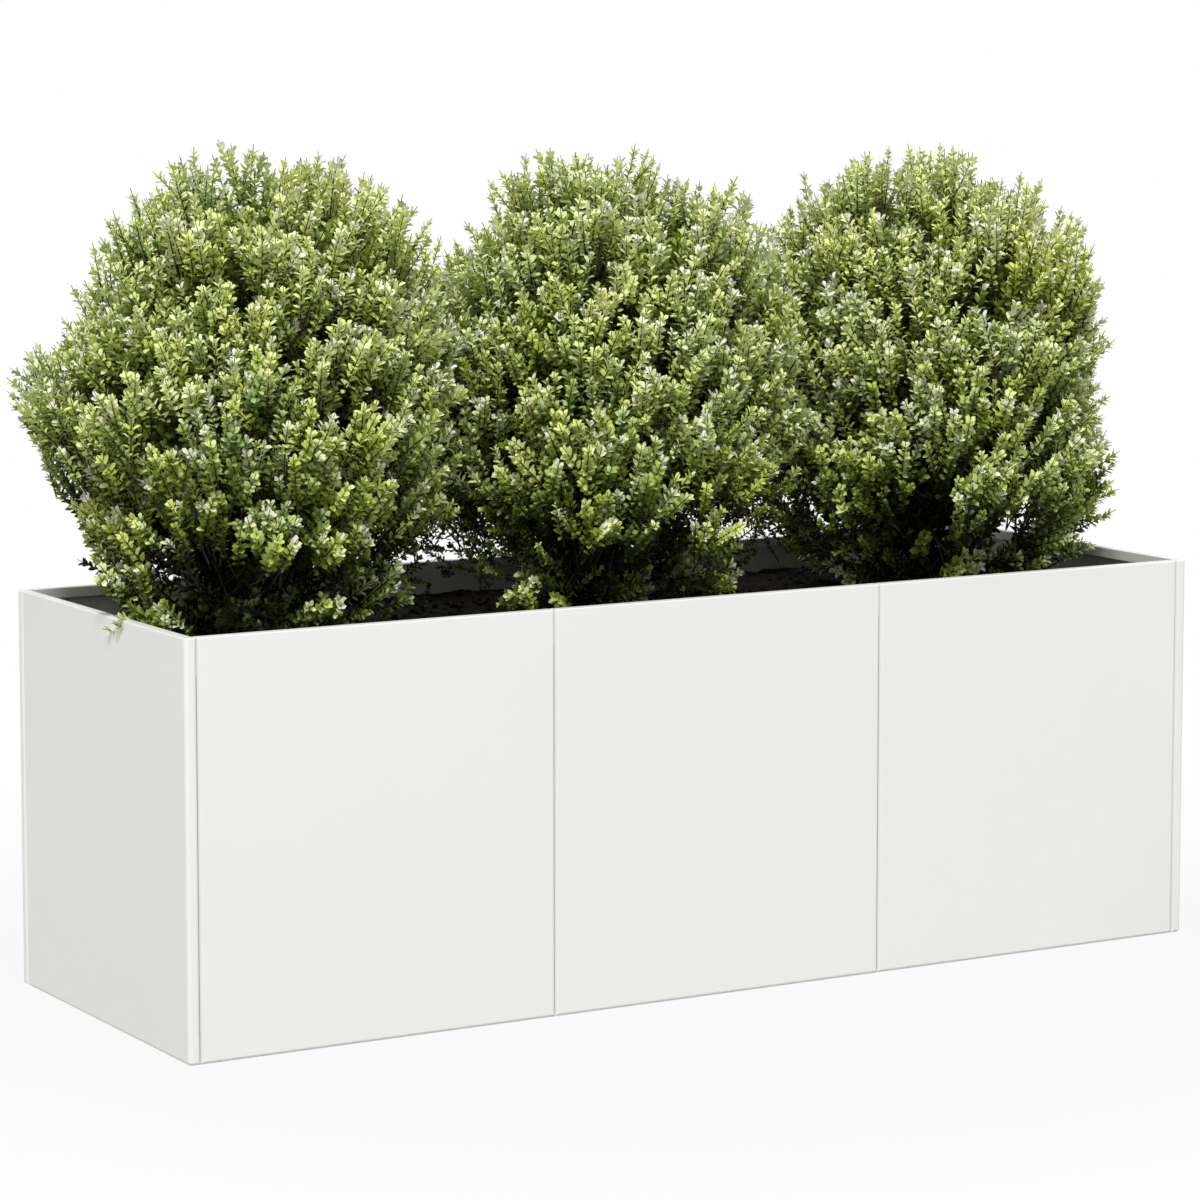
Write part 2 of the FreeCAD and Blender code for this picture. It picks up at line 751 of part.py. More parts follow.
def crown(name, place, setback, rise, lean, low_side, high_side):
    """The leafy ball: a smooth skin through level rings, widest at its waist.

    It is level where the stems meet it. Along X it keeps to its own side of the planes half
    way to the next plants, low_side and high_side.
    """
    reach = half_depth - setback
    height = planter_height + rise - crown_base
    rings = []
    for level_share, reach_share, lean_share in CROWN_RING_SHARES:
        centre = (place + lean * lean_share, ZERO, crown_base + height * level_share)
        ring_name = f"crown_{name}_ring_{len(rings) + 1}"
        rings.append(primitive("Part::Circle", ring_name, {"Radius": reach * reach_share}, centre))
    ball = doc.addObject("Part::Loft", f"crown_ball_{name}")
    ball.Sections = rings
    ball.Solid = True
    room = reach + lean + overrun
    low = low_side if low_side else place - room
    high = high_side if high_side else place + room
    slab = primitive("Part::Box", f"crown_slab_{name}", {
        "Length": high - low, "Width": room * 2, "Height": height + overrun * 2},
        (low, -room, crown_base - overrun))
    item = doc.addObject("Part::Common", f"crown_{name}")
    item.Base = ball
    item.Tool = slab
    item.Label = f"crown_{name}"
    sub_parts.append(item)


def meeting(first, second):
    """The plane along X half way between two plants."""
    return (PLANTS[first][1] + PLANTS[second][1]) / 2


for index, (plant, place, setback, rise, lean) in enumerate(PLANTS):
    low_side = meeting(index - 1, index) + fit_gap / 2 if index > 0 else None
    high_side = meeting(index, index + 1) - fit_gap / 2 if index < len(PLANTS) - 1 else None
    root_ball(plant, place)
    stems(plant, place)
    crown(plant, place, setback, rise, lean, low_side, high_side)


# Potting soil, shaped round the flanges, bolts, tie bars and root balls

def soil_outline(notch_half_width):
    """The plan of the soil with a notch round each seam's flanges."""
    x_end = half_length - wall_gauge - fit_gap
    y_end = half_depth - wall_gauge - fit_gap
    corner_x = half_length - side_flange - fit_gap
    corner_y = half_depth - side_flange - fit_gap
    corners = []
    for side_x, side_y in ((-1, -1), (1, -1), (1, 1), (-1, 1)):
        corner = [
            (x_end * side_x, corner_y * side_y), (corner_x * side_x, corner_y * side_y),
            (corner_x * side_x, y_end * side_y),
        ]
        seam = half_pitch * side_x
        notch = [
            (seam + notch_half_width * side_x, y_end * side_y),
            (seam + notch_half_width * side_x, corner_y * side_y),
            (seam - notch_half_width * side_x, corner_y * side_y),
            (seam - notch_half_width * side_x, y_end * side_y),
        ]
        loop = corner + notch
        corners += loop if side_x * side_y > 0 else loop[::-1]
    return corners


def potting_soil():
    body = new_body("potting_soil")
    soil_bottom = floor_top + fit_gap
    edge_top = floor_top + floor_flange + fit_gap
    upper_start = tie_bolt_height + tie_height / 2 + fit_gap
    plate(body, "deep_soil", "XY_Plane", soil_bottom, soil_outline(bolt_room),
          upper_start - soil_bottom)
    plate(body, "top_soil", "XY_Plane", upper_start, soil_outline(wall_gauge + fit_gap),
          soil_top - upper_start)
    for name, side in (("left", -1), ("right", 1)):
        seam = half_pitch * side
        sketch = new_sketch(body, "XZ_Plane", f"floor_channel_{name}_outline")
        channel = [
            (seam - bolt_room, soil_bottom - overrun), (seam + bolt_room, soil_bottom - overrun),
            (seam + bolt_room, edge_top), (seam - bolt_room, edge_top),
        ]
        draw_outline(sketch, channel)
        cut(body, f"floor_channel_{name}", sketch, planter_depth)
        bar_near = (half_pitch + wall_gauge - fit_gap) * side
        bar_far = (half_pitch + wall_gauge + tie_thickness + fit_gap) * side
        sketch = new_sketch(body, "XZ_Plane", f"bar_channel_{name}_outline")
        low = tie_bolt_height - tie_height / 2 - fit_gap
        channel = [(bar_near, low), (bar_far, low), (bar_far, upper_start), (bar_near, upper_start)]
        draw_outline(sketch, channel)
        cut(body, f"bar_channel_{name}", sketch, planter_depth)
    for name, place, *_ in PLANTS:
        sketch = new_sketch(body, "XY_Plane", f"hole_{name}_circle", soil_top)
        draw_circles(sketch, [(place, ZERO)], ball_diameter + fit_gap * 2)
        cut(body, f"hole_{name}", sketch, (ball_height + fit_gap) * 2)


potting_soil()
doc.recompute()


# Checks, then one file for each sub-part

for item in doc.Objects:
    if "Invalid" in item.State or "Error" in item.State:
        raise ValueError(f"{item.Label} failed: {item.State}")
for item in sub_parts:
    shape = item.Shape
    if shape.isNull() or not shape.isValid() or not shape.Solids:
        raise ValueError(f"{item.Label} has no valid shape")
for item in sub_parts:
    item.Shape.exportStep(f"parts/{item.Label}.step")
    print(item.Label, len(item.Shape.Solids), round(item.Shape.Volume))
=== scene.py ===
import json
import math
from collections import namedtuple

import bpy
import numpy as np
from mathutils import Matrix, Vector


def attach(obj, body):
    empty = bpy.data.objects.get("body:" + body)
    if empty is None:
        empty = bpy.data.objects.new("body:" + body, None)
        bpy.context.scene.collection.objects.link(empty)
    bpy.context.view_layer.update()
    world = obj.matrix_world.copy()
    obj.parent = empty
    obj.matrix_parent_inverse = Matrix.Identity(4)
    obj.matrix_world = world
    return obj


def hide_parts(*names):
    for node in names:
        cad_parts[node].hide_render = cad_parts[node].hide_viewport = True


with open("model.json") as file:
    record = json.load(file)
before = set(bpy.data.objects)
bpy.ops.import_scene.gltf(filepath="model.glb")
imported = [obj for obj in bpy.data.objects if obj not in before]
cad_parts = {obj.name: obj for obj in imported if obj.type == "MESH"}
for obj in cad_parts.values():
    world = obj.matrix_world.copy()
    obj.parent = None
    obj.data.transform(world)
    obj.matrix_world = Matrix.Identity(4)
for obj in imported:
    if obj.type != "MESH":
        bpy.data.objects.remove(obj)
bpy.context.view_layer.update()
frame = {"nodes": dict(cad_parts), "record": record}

# A long white trough of folded steel panels, planted with three ball-shaped shrubs.
# Everything is in metres: X along the front, Y from front to back, Z up.

bpy.ops.object.select_all(action="DESELECT")
rng = np.random.default_rng(16)


def box_of(node):
    """The lowest and highest corner of a node of the frame, to a hundredth of a millimetre."""
    corners = np.array(frame["nodes"][node].bound_box)
    return corners.min(axis=0).round(5), corners.max(axis=0).round(5)


# Shader maths

class Wire:
    """An output of a node, with the operators that the materials use."""

    def __init__(self, sheet, socket):
        self.sheet = sheet
        self.socket = socket

    def maths(self, operation, *values):
        return self.sheet.node("ShaderNodeMath", {"operation": operation},
                               dict(enumerate(values)))

    def __add__(self, other):
        return self.maths("ADD", self, other)

    def __sub__(self, other):
        return self.maths("SUBTRACT", self, other)

    def __rsub__(self, other):
        return self.maths("SUBTRACT", other, self)

    def __mul__(self, other):
        return self.maths("MULTIPLY", self, other)

    def __abs__(self):
        return self.maths("ABSOLUTE", self)

    def lesser(self, other):
        return self.maths("MINIMUM", self, other)

    def greater(self, other):
        return self.maths("MAXIMUM", self, other)

    __radd__ = __add__
    __rmul__ = __mul__


class Sheet:
    """The nodes of a material or of the sky, and the one way that a node is added to them."""

    def __init__(self, tree):
        self.nodes = tree.nodes
        self.links = tree.links

    def feed(self, socket, value):
        if isinstance(value, Wire):
            self.links.new(value.socket, socket)
        else:
            socket.default_value = value

    def node(self, kind, settings=None, values=None, output=0):
        """Adds a node, gives it its settings, then its values.

        Returns one of its outputs, if it has any.
        """
        made = self.nodes.new(kind)
        for key, setting in (settings or {}).items():
            if key == "stops":
                ramp = made.color_ramp
                while len(ramp.elements) < len(setting):
                    ramp.elements.new(0.5)
                for element, (place, colour) in zip(ramp.elements, setting):
                    element.position = place
                    element.color = (*colour, 1)
            else:
                setattr(made, key, setting)
        for key, value in (values or {}).items():
            self.feed(made.inputs[key], value)
        return Wire(self, made.outputs[output]) if len(made.outputs) else None


class Finish(Sheet):
    """A new material with Blender's standard shader."""

    def __init__(self, name, metallic=0.0, specular=0.5):
        self.material = bpy.data.materials.new(name)
        self.material.use_nodes = True
        super().__init__(self.material.node_tree)
        self.shader = self.nodes["Principled BSDF"]
        self.set("Metallic", metallic)
        self.set("Specular IOR Level", specular)

    def set(self, name, value):
        self.feed(self.shader.inputs[name], value)

    def places(self):
        """The piece's own coordinates, in metres."""
        return self.node("ShaderNodeTexCoord", output="Object")

    def noise(self, scale, detail=2.0, roughness=0.5):
        """Cloudy noise from zero to one; the scale is in patches per metre."""
        return self.node("ShaderNodeTexNoise", None, {
            "Vector": self.places(), "Scale": scale, "Detail": detail, "Roughness": roughness})

    def ramp(self, factor, stops):
        return self.node("ShaderNodeValToRGB", {"stops": stops}, {"Fac": factor})

    def mix(self, factor, a, b):
        """A mix of two colours: inputs 6 and 7 and output 2 are the node's colour ones."""
        return self.node("ShaderNodeMix", {"data_type": "RGBA"}, {0: factor, 6: a, 7: b}, output=2)

    def bump(self, height, distance, strength=1.0):
        self.set("Normal", self.node("ShaderNodeBump", None, {
            "Height": height, "Distance": distance, "Strength": strength}))


SCREEN_LEVELS = 255
SCREEN_GAMMA = 2.2


def linear(red, green, blue):
    """A colour given as it looks on the screen, from 0 to 255, in linear light."""
    return tuple((part / SCREEN_LEVELS) ** SCREEN_GAMMA for part in (red, green, blue))


# Materials

# The upright joints of the walls, as distances from the planter's middle.
INNER_JOINT = box_of("front_panel_middle")[1][0]
OUTER_JOINT = box_of("front_panel_right")[1][0]
JOINT_HALF_WIDTH = 0.0034
JOINT_CORE_SHARE = 0.2
WALL_WHITE = linear(239, 240, 235)
FLOOR_WHITE = linear(228, 229, 225)
ZINC_GREY = linear(190, 192, 194)
# Painted shade in the upright joints between the wall panels: its colour and how much of it covers
# them.
JOINT_SHADE_TONE = linear(206, 205, 199)
JOINT_SHADE_COVER = 0.45
COAT_SHADE = 0.975
COAT_ROUGHNESS = 0.38
COAT_ROUGHNESS_DRIFT = 0.10
PEEL_DEPTH = 0.00004
SPANGLE_SHADE = 0.82
ZINC_ROUGHNESS = 0.30
SPANGLE_ROUGHNESS = 0.16
PEAT_ROUGHNESS = 0.95
PEAT_DEPTH = 0.002
PEAT_TONES = [
    (0.36, linear(16, 13, 11)), (0.56, linear(36, 29, 23)), (0.74, linear(66, 52, 40)),
]
BARK_ROUGHNESS = 0.85
RIDGE_DEPTH = 0.0008
BARK_TONES = [
    (0.30, linear(38, 30, 22)), (0.55, linear(78, 62, 45)), (0.80, linear(112, 95, 72)),
]

# The leaf chart is a UV map. U runs from twig brown and dark leaves to light ones and pale tips,
# and
# V from a bluish to a yellowish green. Old leaves and painted shade sit at the dark end, young
# leaves and painted light at the light end, and the pale tips are painted highlights.
LEAF_CHART = "OFBake"
LEAF_ROUGHNESS = 0.50
COOL_TONES = [
    (0.03, linear(58, 46, 34)), (0.08, linear(14, 22, 8)), (0.28, linear(56, 76, 34)),
    (0.50, linear(138, 164, 94)), (0.74, linear(212, 229, 168)), (0.84, linear(226, 230, 208)),
    (1.00, linear(235, 237, 235)),
]
WARM_TONES = [
    (0.03, linear(70, 56, 38)), (0.08, linear(22, 30, 6)), (0.28, linear(90, 106, 30)),
    (0.50, linear(190, 206, 78)), (0.74, linear(239, 245, 144)), (0.84, linear(232, 235, 194)),
    (1.00, linear(237, 238, 226)),
]


def shaded(tone, share):
    return [part * share for part in tone]


def near_joints(finish):
    """One on the upright joints between the wall panels, falling to zero beside them."""
    along = finish.node("ShaderNodeSeparateXYZ", None, {"Vector": finish.places()}, output="X")
    out = abs(along)
    nearest = abs(out - INNER_JOINT).lesser(abs(out - OUTER_JOINT))
    return finish.node("ShaderNodeMapRange", None, {
        "Value": nearest, "From Min": JOINT_HALF_WIDTH * JOINT_CORE_SHARE,
        "From Max": JOINT_HALF_WIDTH, "To Min": 1.0, "To Max": 0.0})


def powder_coat(name, tone):
    """White powder-coated steel: a satin skin, a faint ripple, and painted shade in the joints."""
    finish = Finish(name)
    drift = finish.noise(scale=3.1, detail=3.0)
    coat = finish.ramp(drift, [(0.30, shaded(tone, COAT_SHADE)), (0.70, tone)])
    # Painted shade: the coat turns towards a darker grey over the joints.
    joint_shade = near_joints(finish) * JOINT_SHADE_COVER
    finish.set("Base Color", finish.mix(joint_shade, coat, (*JOINT_SHADE_TONE, 1)))
    finish.bump(finish.noise(scale=420.0), PEEL_DEPTH, strength=0.5)
    finish.set("Roughness", COAT_ROUGHNESS + finish.noise(scale=60.0) * COAT_ROUGHNESS_DRIFT)
    return finish.material


def galvanised(name, tone):
    """Zinc-plated steel: soft grey crystals, a little brighter on some."""
    finish = Finish(name, metallic=1.0)
    grain = finish.node("ShaderNodeTexVoronoi", {"feature": "F1"}, {
        "Vector": finish.places(), "Scale": 260.0}, output="Color")
    spangle = finish.node("ShaderNodeSeparateColor", None, {"Color": grain})
    finish.set("Base Color", finish.ramp(spangle, [
        (0.0, shaded(tone, SPANGLE_SHADE)), (1.0, tone)]))
    finish.set("Roughness", ZINC_ROUGHNESS + spangle * SPANGLE_ROUGHNESS)
    return finish.material


def potting_mix(name):
    """Dark moist potting soil: near-black peat with a few brown crumbs."""
    finish = Finish(name, specular=0.2)
    crumbs = finish.noise(scale=190.0, detail=5.0, roughness=0.7)
    finish.set("Base Color", finish.ramp(crumbs, PEAT_TONES))
    finish.set("Roughness", PEAT_ROUGHNESS)
    finish.bump(crumbs, PEAT_DEPTH)
    return finish.material


def bark(name):
    """Young shrub bark, brown with finer, paler ridges."""
    finish = Finish(name, specular=0.25)
    ridges = finish.noise(scale=240.0, detail=4.0, roughness=0.65)
    finish.set("Base Color", finish.ramp(ridges, BARK_TONES))
    finish.set("Roughness", BARK_ROUGHNESS)
    finish.bump(ridges, RIDGE_DEPTH)
    return finish.material


def leaf_skin(name):
    """Leaves and twigs, coloured by the leaf chart."""
    finish = Finish(name, specular=0.35)
    chart = finish.node("ShaderNodeUVMap", {"uv_map": LEAF_CHART}, output="UV")
    tone, warmth = (finish.node("ShaderNodeSeparateXYZ", None, {"Vector": chart}, output=axis)
                    for axis in ("X", "Y"))
    cool = finish.ramp(tone, COOL_TONES)
    warm = finish.ramp(tone, WARM_TONES)
    finish.set("Base Color", finish.mix(warmth, cool, warm))
    finish.set("Roughness", LEAF_ROUGHNESS)
    return finish.material


wall_finish = powder_coat("white_powder_coat", WALL_WHITE)
floor_finish = powder_coat("floor_powder_coat", FLOOR_WHITE)
zinc_finish = galvanised("zinc_plate", ZINC_GREY)
soil_finish = potting_mix("potting_mix")
bark_finish = bark("shrub_bark")
leaf_finish = leaf_skin("leaf_skin")

NODE_FINISHES = {
    "wall_steel": wall_finish, "floor_steel": floor_finish, "bar_steel": zinc_finish,
    "fixing_steel": zinc_finish, "bark": bark_finish, "soil": soil_finish,
    "root_soil": soil_finish,
}
for entry in frame["record"]["subparts"]:
    finish = NODE_FINISHES.get(entry["material_slot"])
    if finish:
        for place in frame["nodes"][entry["node"]].material_slots:
            place.material = finish


# Leaves and sprigs

LEAF_LENGTH = 0.0082
LEAF_WIDTH = 0.0046
LEAF_OUTLINE_SHARES = [
    (0, 0), (0.46, 0.36), (0.45, 0.76), (0, 1), (-0.45, 0.76), (-0.46, 0.36),
]
LEAF_FOLD_SHARE = 0.30
LEAF_ARCH_SHARE = 0.10

# A sprig has pairs of leaves, each pair turned a quarter from the one below. Leaves rise
# more steeply towards the tip, in degrees, and are largest a little over the middle.
PAIRS = 12
PAIR_STEP = 0.0044
PAIR_STEP_SHAKE = 0.0005
ROSETTE_PAIRS = 1.2
ROSETTE_POWER = 6
LEAF_RISE = 26
TIP_RISE = 20
TIP_RISE_POWER = 1.5
LEAF_TURN_SHAKE = 0.22
LEAF_RISE_SHAKE = 0.17
LEAF_SIZE = 0.80
LEAF_SWELL = 0.30
SWELL_START_SHARE = 0.18
SWELL_SPAN_SHARE = 0.60
LEAF_SIZE_SHAKE = 0.09
SPRIG_KINDS = 10

TWIG_RADIUS = 0.0007
TWIG_TAPER_SHARES = (1.5, 1.0, 0.5)
TWIG_SIDES = 3
BARE_TWIG = 0.014
TWIG_BEND = 0.05

# How a leaf's place on its sprig moves it on the leaf chart.
TIP_TONE = 0.24
LEAF_END_TONE = 0.10
LEAF_TONE_SHAKE = 0.055
LEAF_WARMTH_SHAKE = 0.10
LEAF_EDGE_WARMTH = 0.04

Sprig = namedtuple("Sprig", "points faces tone warmth wood")


def leaf_blade():
    """One leaf of two folded halves: base at zero, length along Y, face up along Z.

    Returns its points and its four-sided faces.
    """
    bpy.ops.mesh.primitive_circle_add(vertices=len(LEAF_OUTLINE_SHARES), fill_type="NGON")
    piece = bpy.context.object
    for vertex, (across, along) in zip(piece.data.vertices, LEAF_OUTLINE_SHARES):
        fold = LEAF_FOLD_SHARE * abs(across) * LEAF_WIDTH
        arch = LEAF_ARCH_SHARE * LEAF_LENGTH * along * (1 - along)
        vertex.co = (across * LEAF_WIDTH, along * LEAF_LENGTH, fold + arch)
    bpy.ops.object.mode_set(mode="EDIT")
    bpy.ops.mesh.select_mode(type="VERT")
    bpy.ops.mesh.select_all(action="DESELECT")
    bpy.ops.object.mode_set(mode="OBJECT")
    for vertex, (across, _) in zip(piece.data.vertices, LEAF_OUTLINE_SHARES):
        vertex.select = across == 0
    bpy.ops.object.mode_set(mode="EDIT")
    bpy.ops.mesh.vert_connect()
    bpy.ops.object.mode_set(mode="OBJECT")
    points = np.array([vertex.co for vertex in piece.data.vertices])
    faces = np.array([tuple(face.vertices) for face in piece.data.polygons])
    bpy.data.objects.remove(piece)
    return points, faces


def turn_about(axis, angle):
    """The rotation matrices about X, Y or Z for an array of angles."""
    c, s = np.cos(angle), np.sin(angle)
    made = np.zeros((len(angle), 3, 3))
    a, b = {"X": (1, 2), "Y": (2, 0), "Z": (0, 1)}[axis]
    k = 3 - a - b
    made[:, k, k] = 1
    made[:, a, a] = c
    made[:, b, b] = c
    made[:, b, a] = s
    made[:, a, b] = -s
    return made


def copied_faces(faces, first_points):
    """The faces of many copies of a shape, given the number of each copy's first point."""
    return (faces[None] + first_points[:, None, None]).reshape(-1, faces.shape[1])


def tapered_tube(levels, radii):
    """Points and four-sided faces of a thin open tube along Z."""
    angles = np.arange(TWIG_SIDES) * math.tau / TWIG_SIDES
    rings = [
        np.stack([radius * np.cos(angles), radius * np.sin(angles), np.full(TWIG_SIDES, level)], 1)
        for level, radius in zip(levels, radii)]
    faces = []
    for ring in range(len(rings) - 1):
        for side in range(TWIG_SIDES):
            a = ring * TWIG_SIDES + side
            b = ring * TWIG_SIDES + (side + 1) % TWIG_SIDES
            faces.append([a, b, b + TWIG_SIDES, a + TWIG_SIDES])
    return np.concatenate(rings), np.array(faces)


def make_sprig(blade, blade_faces, pairs):
    """A twig along Z with leaves in crossed pairs and a small rosette at its tip.

    Each of its points has a tone and a warmth, which move it on the leaf chart, and is wood
    or not.
    """
    order = np.repeat(np.arange(pairs), 2)
    share = order / (pairs - 1)
    count = len(order)
    around = (order * math.pi / 2 + np.tile([0, math.pi], pairs)
              + rng.normal(0, LEAF_TURN_SHAKE, count))
    rise = np.radians(LEAF_RISE + TIP_RISE * share ** TIP_RISE_POWER)
    rise += rng.normal(0, LEAF_RISE_SHAKE, count)
    roll = rng.normal(0, LEAF_TURN_SHAKE, count)
    swell = np.sin(math.pi * (SWELL_START_SHARE + SWELL_SPAN_SHARE * share))
    size = (LEAF_SIZE + LEAF_SWELL * swell) * rng.normal(1, LEAF_SIZE_SHAKE, count)
    spin = turn_about("Z", around) @ turn_about("X", rise) @ turn_about("Y", roll)
    leaves = np.einsum("nij,vj->nvi", spin, blade) * size[:, None, None]
    bend = rng.normal(0, TWIG_BEND, 2)
    height = ((order - share ** ROSETTE_POWER * ROSETTE_PAIRS) * PAIR_STEP
              + rng.normal(0, PAIR_STEP_SHAKE, count))
    leaves[:, :, 2] += height[:, None]
    along = np.clip(blade[:, 1] / LEAF_LENGTH, 0, 1)
    tone = ((share - 0.5)[:, None] * TIP_TONE + (along[None] - 0.5) * LEAF_END_TONE
            + rng.normal(0, LEAF_TONE_SHAKE, count)[:, None])
    warmth = (rng.normal(0, LEAF_WARMTH_SHAKE, count)[:, None]
              + blade[None, :, 0] / LEAF_WIDTH * LEAF_EDGE_WARMTH)
    length = pairs * PAIR_STEP
    twig, twig_faces = tapered_tube([-BARE_TWIG, length * 0.5, length],
                                    TWIG_RADIUS * np.array(TWIG_TAPER_SHARES))
    points = np.concatenate([leaves.reshape(-1, 3), twig])
    lift = np.clip(points[:, 2], 0, None)
    points[:, :2] += lift[:, None] ** 2 / length * bend[None]
    faces = np.concatenate([
        copied_faces(blade_faces, np.arange(count) * len(blade)), twig_faces + tone.size])
    plain = np.zeros(len(twig))
    wood = np.arange(len(points)) >= tone.size
    return Sprig(points, faces, np.concatenate([tone.ravel(), plain]),
                 np.concatenate([warmth.ravel(), plain]), wood)


blade, blade_faces = leaf_blade()
sprigs = [make_sprig(blade, blade_faces, PAIRS + kind % 3 - 1) for kind in range(SPRIG_KINDS)]


# Crowns

MIDDLE_LEVEL = 0.600
FOOT_LEVEL = 0.400

# Each crown's radii towards the left end of the planter, then towards the right end, with
# one for each level.
LEVELS = [0.385, 0.405, 0.430, 0.460, 0.500, 0.540, 0.580, 0.620, 0.655, 0.690, 0.725, 0.760,
          0.790, 0.815, 0.835, 0.848]
CROWNS = {
    "left": ([
        0.096, 0.166, 0.174, 0.170, 0.156, 0.158, 0.174, 0.218, 0.198, 0.158, 0.136, 0.122,
        0.108, 0.080, 0.046, 0.000], [
        0.090, 0.140, 0.160, 0.172, 0.182, 0.190, 0.194, 0.196, 0.196, 0.196, 0.193, 0.190,
        0.184, 0.148, 0.086, 0.000]),
    "middle": ([
        0.090, 0.145, 0.165, 0.178, 0.190, 0.196, 0.198, 0.196, 0.190, 0.174, 0.148, 0.118,
        0.106, 0.078, 0.038, 0.000], [
        0.090, 0.145, 0.165, 0.180, 0.190, 0.196, 0.198, 0.198, 0.196, 0.194, 0.190, 0.182,
        0.152, 0.088, 0.028, 0.000]),
    "right": ([
        0.090, 0.145, 0.165, 0.180, 0.190, 0.196, 0.198, 0.196, 0.192, 0.186, 0.174, 0.154,
        0.122, 0.080, 0.044, 0.000], [
        0.090, 0.138, 0.164, 0.178, 0.210, 0.196, 0.176, 0.184, 0.177, 0.174, 0.176, 0.156,
        0.120, 0.074, 0.032, 0.000]),
}

SMALLEST_REACH = 0.02
LARGEST_REACH = 0.30
REACH_STEPS = 240
NEARLY_UPRIGHT = 0.9
OVERHANG_LIMIT = 0.216
SECTORS = ("front", "right", "back", "left")

# The shares of sprigs left out low down. More are left out at the front, on the side
# towards the camera, and where two shrubs meet, up to a little higher.
THINNING = 0.58
OPEN_THINNING = 0.90
OUTER_THINNING_LEVEL = 0.48
FILL_THINNING_LEVEL = 0.50
VALLEY_RISE = 0.045
NEIGHBOUR_WIDTH = 0.55
OPEN_FRONT = np.array([-0.43, -0.90])
OPEN_FRONT_WIDTH = 0.80

# The outer sprigs stand in clumps. Some clumps stand proud, and in each clump some sprigs
# stay deep and a few shoot out as spikes.
CLUMPS = 245
CLUMP_RADIUS = 0.034
CLUMP_SHAKE = 0.06
CLUMP_SPRIGS = (11, 17)
SHORTEST_CLUMP = 0.06
CLUMP_LIFT_SHAKE = 0.006
PROUD_SHARE = 0.12
PROUD_LIFT = (0.004, 0.014)
CLUMP_UPTURN = 0.50
CLUMP_AXIS_SHAKE = 0.08
CLUMP_FAN = 0.42
CLUMP_FAN_SHAKE = 0.12
CLUMP_DOME = 0.016
DROP_SHAKE = 0.006
DEEP_SHARE = 0.42
DEEP_DROP = (0.010, 0.042)
SPIKE_SHARE = 0.055
SPIKE = 0.016
CLUMP_TONE_SHAKE = 0.05
CLUMP_WARMTH_SHAKE = 0.16
# Painted shade: sprigs that sit deeper in a clump are painted darker.
PAINTED_SHADE_PER_DROP = 4.6

FILL_SPRIGS = 1300
FILL_SIZE = 1.5
FILL_REACH_SHARES = (0.45, 0.84)
FILL_SHAKE = 0.22
# Painted shade: the fill sprigs deep inside the crown are painted dark.
FILL_PAINTED_SHADE = -0.36

LACE_TRIES = 3200
LACE_SIZE = 0.66
LACE_REACH_SHARES = (0.72, 1.12)
LACE_LOWEST = 0.405
LACE_HIGHEST = 0.515
LACE_UPTURN = 0.25
LACE_SHAKE = 0.38
# Painted shade: the lace sprigs low between the shrubs are painted dark.
LACE_PAINTED_SHADE = -0.34

INNER_WARMTH_SHAKE = 0.1

# Every sprig's own size and place on the leaf chart. High ones are painted lighter, as painted
# light, and low ones darker, as painted shade.
SPRIG_SIZE_SHAKE = 0.07
LOWEST_START = 0.380
# Painted highlights: the share of outer sprigs with pale tips.
PALE_HIGHLIGHT_SHARE = 0.36
DULL_SHARE = 0.14
BASE_TONE = 0.68
TONE_SHAKE = 0.06
DULL_TONE = 0.14
PAINTED_LIGHT_ABOVE = 0.60
PAINTED_LIGHT_PER_METRE = 0.62
MOST_PAINTED_LIGHT = 0.12
PAINTED_SHADE_BELOW = 0.57
PAINTED_SHADE_PER_METRE = 1.6
MOST_PAINTED_SHADE = 0.27
PAINTED_SHADE_SHARE = 0.84
BASE_WARMTH = 0.58
WARMTH_SHAKE = 0.10
DULL_WARMTH = 0.25
SPRIG_WARMTH_RANGE = (0.06, 0.94)

WOOD_TONE = 0.04
GREEN_RANGE = (0.10, 0.77)
# Painted highlights: the tip leaves of some outer sprigs move to the pale end of the chart.
PALE_HIGHLIGHT_ABOVE = 0.08
PALE_HIGHLIGHT_TONE = 0.82
PALE_HIGHLIGHT_GAIN = 1.5
WARMTH_RANGE = (0.03, 0.97)


def place_of(crown):
    """How far along the planter a shrub stands: over the middle of its root ball."""
    low, high = box_of(f"root_ball_{crown}")
    return (low[0] + high[0]) / 2


PLACES = {crown: place_of(crown) for crown in CROWNS}


def unit(vectors):
    return vectors / np.linalg.norm(vectors, axis=-1, keepdims=True)


def foot_of(centre):
    """The place over the soil from which a shrub's sprigs fan out."""
    return np.array([centre[0], centre[1], FOOT_LEVEL])


def spread_over_ball(count, shake):
    """Evenly spread directions, a little shaken."""
    i = np.arange(count) + 0.5
    z = 1 - 2 * i / count
    turn = i * math.pi * (3 - math.sqrt(5))
    flat = np.sqrt(1 - z * z)
    even = np.stack([flat * np.cos(turn), flat * np.sin(turn), z], 1)
    return unit(even + rng.normal(0, shake, even.shape))


def surface_distance(way, profiles):
    """How far the crown's surface is from its middle, along each direction.

    The two profiles are the radii towards the left and right end of the planter.
    """
    steps = np.linspace(SMALLEST_REACH, LARGEST_REACH, REACH_STEPS)
    levels = MIDDLE_LEVEL + way[:, 2:3] * steps
    flat = np.linalg.norm(way[:, :2], axis=1, keepdims=True)
    rightness = 0.5 + 0.5 * way[:, :1] / flat
    left, right = (np.interp(levels, LEVELS, radii, left=0, right=0) for radii in profiles)
    inside = flat * steps < left + (right - left) * rightness
    return steps[np.argmin(inside, axis=1)]


